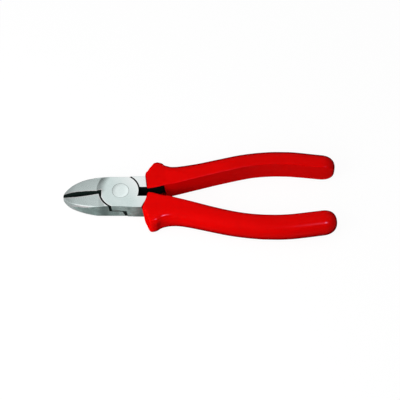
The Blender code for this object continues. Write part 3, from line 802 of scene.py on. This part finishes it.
def rivet_material(name):
    """Bright steel, darker at the very rim of the rivet head."""
    nodes = Nodes(bpy.data.materials.new(name))
    mix, span, noise = nodes.mix, nodes.span, nodes.noise
    plain = nodes.place()
    radius = nodes.radius(plain)
    cloud = noise(plain, scale=240.0, detail=5.0, rough=0.6, distortion=0.4)
    fine = noise(plain, scale=1500.0, rough=0.6)
    lines = noise(nodes.place(GRAIN_SCALE), scale=1.0, detail=3.0, rough=0.65)
    colour = mix(span(cloud, (0.35, 0.7)), (0.79, 0.885, 0.875), (0.87, 0.955, 0.945))
    rim = nodes.calc("MULTIPLY", span(radius, (0.00462, 0.00484)),
                     span(fine, (0.25, 0.6), to=(0.3, 0.8)))
    relief = nodes.bump(fine, strength=0.05, distance=0.00002)
    nodes.feed(nodes.shader, {
        "Base Color": mix(rim, colour, (0.30, 0.33, 0.32)),
        "Metallic": 1.0,
        "Roughness": span(lines, (0.3, 0.8), to=(0.24, 0.36)),
        "Normal": nodes.bump(lines, strength=0.10, distance=0.00002, normal=relief)})
    return nodes.owner


def grip_material(name):
    """Red plastic, with painted shade along its openings and where it turns away."""
    nodes = Nodes(bpy.data.materials.new(name))
    calc, mix, span, noise = nodes.calc, nodes.mix, nodes.span, nodes.noise
    plain = nodes.place()
    cloud = noise(plain, scale=60.0, distortion=0.6)
    grain = noise(plain, scale=2300.0, detail=3.0)
    swirl = noise(plain, scale=420.0, distortion=0.8)
    flow = noise(nodes.place((60.0, 500.0, 500.0)), scale=1.0, detail=3.0, rough=0.5,
                 distortion=0.3)
    colour = mix(span(cloud, (0.3, 0.7)), (0.88, 0.0005, 0.0003), (0.96, 0.0006, 0.0004))
    colour = mix(span(swirl, (0.5, 0.8), to=(0.0, 0.3)), colour, (0.80, 0.0004, 0.0004))
    colour = mix(span(flow, (0.5, 0.75), to=(0.0, 0.18)), colour, (0.78, 0.0004, 0.0004))
    # painted shade along the rims, the window and the cavity
    lip = calc("MULTIPLY", nodes.attribute("lip"), span(swirl, (0.3, 0.7), to=(0.2, 0.8)))
    colour = mix(lip, colour, (0.40, 0.0008, 0.0015))
    turned = nodes.facing()
    # painted shade: the plastic is darkened where it turns away from view, but not on the guard's
    # own front face
    rounded = calc("SUBTRACT", 1.0, nodes.attribute("front"), clamp=True)
    deep = calc("MULTIPLY", rounded, span(turned, (0.44, 0.72), to=(0.0, 0.88)))
    relief = nodes.bump(swirl, strength=0.08, distance=0.0001)
    nodes.feed(nodes.shader, {
        "Base Color": mix(deep, colour, (0.20, 0.0003, 0.0015)),
        "Roughness": span(grain, (0.3, 0.7), to=(0.16, 0.20)),
        "Specular IOR Level": span(turned, (0.3, 0.6), to=(0.03, 0.0)),
        "Normal": nodes.bump(grain, strength=0.10, distance=0.00002, normal=relief)})
    return nodes.owner


def floor_material(name):
    """Near white to the camera, and plain matt to everything else."""
    nodes = Nodes(bpy.data.materials.new(name))
    speck = nodes.noise(nodes.place(), scale=300.0, detail=3.0)
    paper = nodes.mix(nodes.span(speck, (0.3, 0.7)), (0.90, 0.90, 0.90), (0.92, 0.92, 0.92))
    nodes.feed(nodes.shader,
               {"Base Color": paper, "Roughness": 0.8, "Specular IOR Level": 0.0})
    glow = nodes.add("ShaderNodeEmission")
    nodes.feed(glow, {"Color": (1, 1, 1, 1), "Strength": 1.06})
    seen = nodes.mix_shaders(0.12, glow.outputs[0], nodes.shader.outputs[0])
    matt = nodes.add("ShaderNodeBsdfDiffuse")
    path = nodes.add("ShaderNodeLightPath").outputs
    # what the polished steel sees of the floor: shaded close to the tool, bright further out
    far = nodes.span(nodes.radius(nodes.place()), (0.035, 0.08))
    far = nodes.calc("MULTIPLY", path["Is Glossy Ray"], far)
    nodes.feed(matt, {"Color": nodes.mix(far, (0.48, 0.48, 0.48), (0.95, 0.95, 0.95))})
    surface = nodes.mix_shaders(path["Is Camera Ray"], matt.outputs[0], seen)
    nodes.feed(nodes.tree.nodes["Material Output"], {"Surface": surface})
    nodes.owner.cycles.emission_sampling = "NONE"
    return nodes.owner


# ------------------------------------------------------------------ pieces
def paint_lever(lever, x, y, z, side):
    """Where the steel is black, dull, painted with highlights, cross-ground and rubbed."""
    parts = lever_surfaces(x, y, z, side)
    shell, outline = np.abs(parts.shell), np.abs(parts.outline)
    faces, chamfer = np.abs(parts.faces), np.abs(parts.chamfer)
    cuts = np.minimum.reduce([np.abs(cut) for cut in (parts.own_share, *parts.bevels)])
    flank = smoothstep((np.minimum(faces, chamfer) - outline) / 0.12 + 0.3)
    # black inside the shell, and in a margin along the cuts
    black = np.maximum(smoothstep((shell - 0.03) / 0.06),
                       1 - smoothstep((cuts - 0.22 + 0.09 * flank) / 0.10))
    black = np.where((np.abs(parts.tang) < 0.3) & (shell > 0.1), 1.0, black)
    # a black line where the lap plane meets the flank
    lapped = (np.hypot(x, y) > 10.3) & (parts.half > 0) & (np.abs(parts.plate) < 12)
    lap_line = np.maximum(black, 1 - smoothstep((np.abs(z) - 0.46) / 0.12))
    black = np.where(lapped & (outline < 0.1), lap_line, black)
    # painted highlights: bright lines beside the cuts and along the jaw's ground band
    shine = ((1 - smoothstep((np.abs(cuts - 0.50) - 0.12) / 0.14)) * (1 - flank)
             * np.where(x < -9.0, 1.0, 0.7))
    shine = np.maximum(shine, (1 - smoothstep((chamfer - 0.10) / 0.18))
                       * smoothstep((-15.0 - x) / 4.0) * smoothstep((x + 28.0) / 4.0))
    # towards the tip the painted highlight runs over the edge and down the flank
    deep = -parts.faces - np.clip(-21.5 - x, 0, 9) * 0.42
    tipward = smoothstep((-21.5 - x) / 2.0)
    on_side = outline < 0.15
    near_tip = tipward * smoothstep((x + 32.0) / 2.0) * on_side
    shine = np.maximum(shine, near_tip * (1 - smoothstep((np.abs(deep) - 0.45) / 0.4)))
    flank = np.where(on_side, flank * (1 - tipward * (1 - smoothstep(deep / 0.4))), flank)
    paint(lever, black=black, flank=flank, shine=shine, facet=smoothstep((-12.2 - x) / 0.6),
          rub=smoothstep(1 - (shell - 0.05) / 0.3) * (shell > 0.03) * (x < 12.0))


def build_lever(side, steel):
    verts, quads = contour(
        lambda x, y, z: lever_surfaces(x, y, z, side).body,
        spaced(-34.3, (-14.0, 1.15 * LEVER_STEP), (-6.0, 0.8 * LEVER_STEP),
               (9.5, 1.25 * LEVER_STEP), (17.5, 0.85 * LEVER_STEP), (27.0, 1.5 * LEVER_STEP),
               (32.0, 0.4), (116.0, 1.2)),
        spaced(-25.6, (11.4, LEVER_STEP)),
        spaced(-5.9, (-5.2, 0.8 * LEVER_STEP), (-0.55, 1.15 * LEVER_STEP),
               (0.55, 0.5 * LEVER_STEP), (5.2, 1.15 * LEVER_STEP), (5.9, 0.8 * LEVER_STEP)))
    piece = side.name + "_lever"
    lever = quad_object(piece + "_steel", to_world(verts, side.turn), quads, steel)
    paint_lever(lever, *verts.T, side)
    lever.data.set_sharp_from_angle(angle=math.radians(30))
    attach(lever, side.name + "_half", piece)


def build_grip(side, red, plastic):
    verts, quads = contour(
        lambda x, y, z: grip_surfaces(x, y, z, side).body,
        spaced(11.6, (35.0, GRIP_STEP), (116.0, 2.6 * GRIP_STEP), (127.0, 1.4 * GRIP_STEP)),
        spaced(side.cut_y - 29.5, (side.cut_y + 0.4, GRIP_STEP)),
        spaced(-7.95, (7.95, GRIP_STEP)))
    piece = side.grip + "_grip"
    grip = quad_object(piece + "_sleeve", to_world(verts, side.turn), quads, red)
    parts = grip_surfaces(*verts.T, side)
    rim, window, cavity = np.abs(parts.rim), np.abs(parts.window), np.abs(parts.cavity)
    # painted shade along the openings, and a mask that keeps the guard's front face free of
    # painted shade
    paint(grip,
          lip=(np.clip(1 - np.minimum(rim, window) / 0.5, 0, 1)
               + np.clip(1 - cavity / 0.5, 0, 1)),
          front=np.maximum(1 - smoothstep((rim - 0.05) / 0.15),
                           1 - smoothstep((verts[:, 0] - 18.5) / 2.5)))
    attach(grip, side.name + "_half", piece)
    plastic.objects.link(grip)


def build_rivet(silver, turns=160):
    """A turned pin, flush at both ends."""
    # radius, z
    profile = [(2.4, MID), (RIVET_HEAD_R - 0.16, MID), (RIVET_HEAD_R - 0.06, MID - 0.03),
               (RIVET_HEAD_R - 0.01, MID - 0.08), (RIVET_HEAD_R, MID - 0.15),
               (RIVET_HEAD_R, RIVET_HEAD_Z), (RIVET_R, RIVET_NECK_Z)]
    profile += [(radius, -z) for radius, z in profile[::-1]]
    angles = [2 * math.pi * i / turns for i in range(turns)]
    verts = [(radius * math.cos(angle), radius * math.sin(angle), z)
             for radius, z in profile for angle in angles]
    top, bottom = len(verts), len(verts) + 1
    last = top - turns
    verts += [(0, 0, MID), (0, 0, -MID)]
    steps = [(i, (i + 1) % turns) for i in range(turns)]
    faces = [(ring + i, ring + turns + i, ring + turns + j, ring + j)
             for ring in range(0, last, turns) for i, j in steps]
    faces += [(top, i, j) for i, j in steps]
    faces += [(bottom, last + j, last + i) for i, j in steps]
    mesh = bpy.data.meshes.new("pivot_rivet_pin")
    mesh.from_pydata([tuple(co) for co in to_world(verts, 1)], [], faces)
    mesh.update()
    mesh.shade_smooth()
    mesh.set_sharp_from_angle(angle=math.radians(40))
    rivet = add_object("pivot_rivet_pin", mesh, silver)
    attach(rivet, "front_half", "pivot_rivet")


def build_floor(half=4):
    mesh = bpy.data.meshes.new("floor")
    low = CAD_BOX[0][2] - 0.00003
    mesh.from_pydata([(-half, -half, low), (half, -half, low), (half, half, low),
                      (-half, half, low)], [], [(0, 1, 2, 3)])
    add_object("floor", mesh, floor_material("pale_floor"))


# ------------------------------------------------------------------ light and camera
def build_world():
    """A soft studio: even light for matt surfaces, and for the polished steel a bright
    overhead sweep that falls off to the left."""
    world = bpy.data.worlds.new("studio")
    bpy.context.scene.world = world
    nodes = Nodes(world, shader="Background")
    world.cycles.sampling_method = "NONE"
    path = nodes.add("ShaderNodeLightPath").outputs
    coords = nodes.add("ShaderNodeTexCoord").outputs["Generated"]
    calc = nodes.calc

    def lobe(direction, limits, to):
        """Radiance that changes as a ray nears the given direction."""
        dot = nodes.add("ShaderNodeVectorMath", operation="DOT_PRODUCT")
        nodes.feed(dot, {0: coords, 1: Vector(direction).normalized()})
        return nodes.span(dot.outputs["Value"], limits, to, interpolation_type="SMOOTHSTEP")

    sweep = calc("MULTIPLY", lobe((0, 0, 1), (0.0, 0.7), to=(0.45, 1.0)),
                 lobe((-0.75, 0.6, 0.3), (0.52, 0.98), to=(1.0, 0.26)))
    matt = lobe((0, 0, 1), (0.0, 1.0), to=(0.0, 0.52))
    glossy = calc("MULTIPLY", path["Is Glossy Ray"], 1.0)
    light = calc("ADD", calc("MULTIPLY", glossy, sweep),
                 calc("MULTIPLY", calc("SUBTRACT", 1.0, glossy), matt))
    seen = path["Is Camera Ray"]
    total = calc("ADD", calc("MULTIPLY", seen, 1.02),
                 calc("MULTIPLY", calc("SUBTRACT", 1.0, seen), light))
    nodes.feed(nodes.shader, {"Color": (1.0, 1.0, 1.0, 1.0), "Strength": total})


def look_at(obj, target):
    obj.rotation_euler = (target - obj.location).to_track_quat("-Z", "Y").to_euler()


def soft_light(name, direction, distance, size, irradiance, colour=(1, 1, 1)):
    """A square lamp that faces the tool and gives it this irradiance."""
    light = bpy.data.lights.new(name, "AREA")
    light.shape = "RECTANGLE"
    light.size = light.size_y = size
    light.energy = irradiance * math.pi * distance**2
    light.color = colour
    lamp = bpy.data.objects.new(name, light)
    bpy.context.scene.collection.objects.link(lamp)
    target = Vector((0.046, 0, 0))
    lamp.location = target + Vector(direction).normalized() * distance
    look_at(lamp, target)
    return lamp


def build_lights(plastic):
    # the lamps stand close, so their light falls off along the handles
    for lamp in (
        soft_light("key", (-0.62, -0.50, 0.62), distance=0.35, size=0.2, irradiance=0.80),
        soft_light("front", (-0.20, -0.85, 0.45), distance=0.40, size=0.25, irradiance=0.58),
        soft_light("left", (-0.80, -0.10, 0.55), distance=0.30, size=0.2, irradiance=0.44),
    ):
        lamp.visible_glossy = False     # reflections show the sweep alone
    # a small lamp for the glints on the plastic only
    spark = soft_light("spark", (0.39, -0.49, 0.78), distance=1.5, size=0.12, irradiance=5.5,
                       colour=(0.7, 0.5, 1.0))
    spark.visible_diffuse = False
    spark.light_linking.receiver_collection = plastic


def build_camera(distance=1.1, elevation=math.radians(58.0)):
    camera = bpy.data.cameras.new("camera")
    view = bpy.data.objects.new("camera", camera)
    bpy.context.scene.collection.objects.link(view)
    target = Vector((0.0463, 0.0, MID * MM))
    view.location = target + Vector((0, -math.cos(elevation), math.sin(elevation))) * distance
    look_at(view, target)
    camera.lens = 169.5375
    camera.shift_y = -0.01125
    camera.clip_start, camera.clip_end = 0.01, 50
    bpy.context.scene.camera = view
    bpy.context.scene.view_settings.view_transform = "Standard"


# ------------------------------------------------------------------ build
steel = steel_material("polished_and_blackened_steel")
red = grip_material("red_moulded_plastic")
silver = rivet_material("flush_rivet_steel")
plastic = bpy.data.collections.new("plastic")
for side in SIDES:
    build_lever(side, steel)
    build_grip(side, red, plastic)
build_rivet(silver)
build_floor()
build_world()
build_lights(plastic)
build_camera()
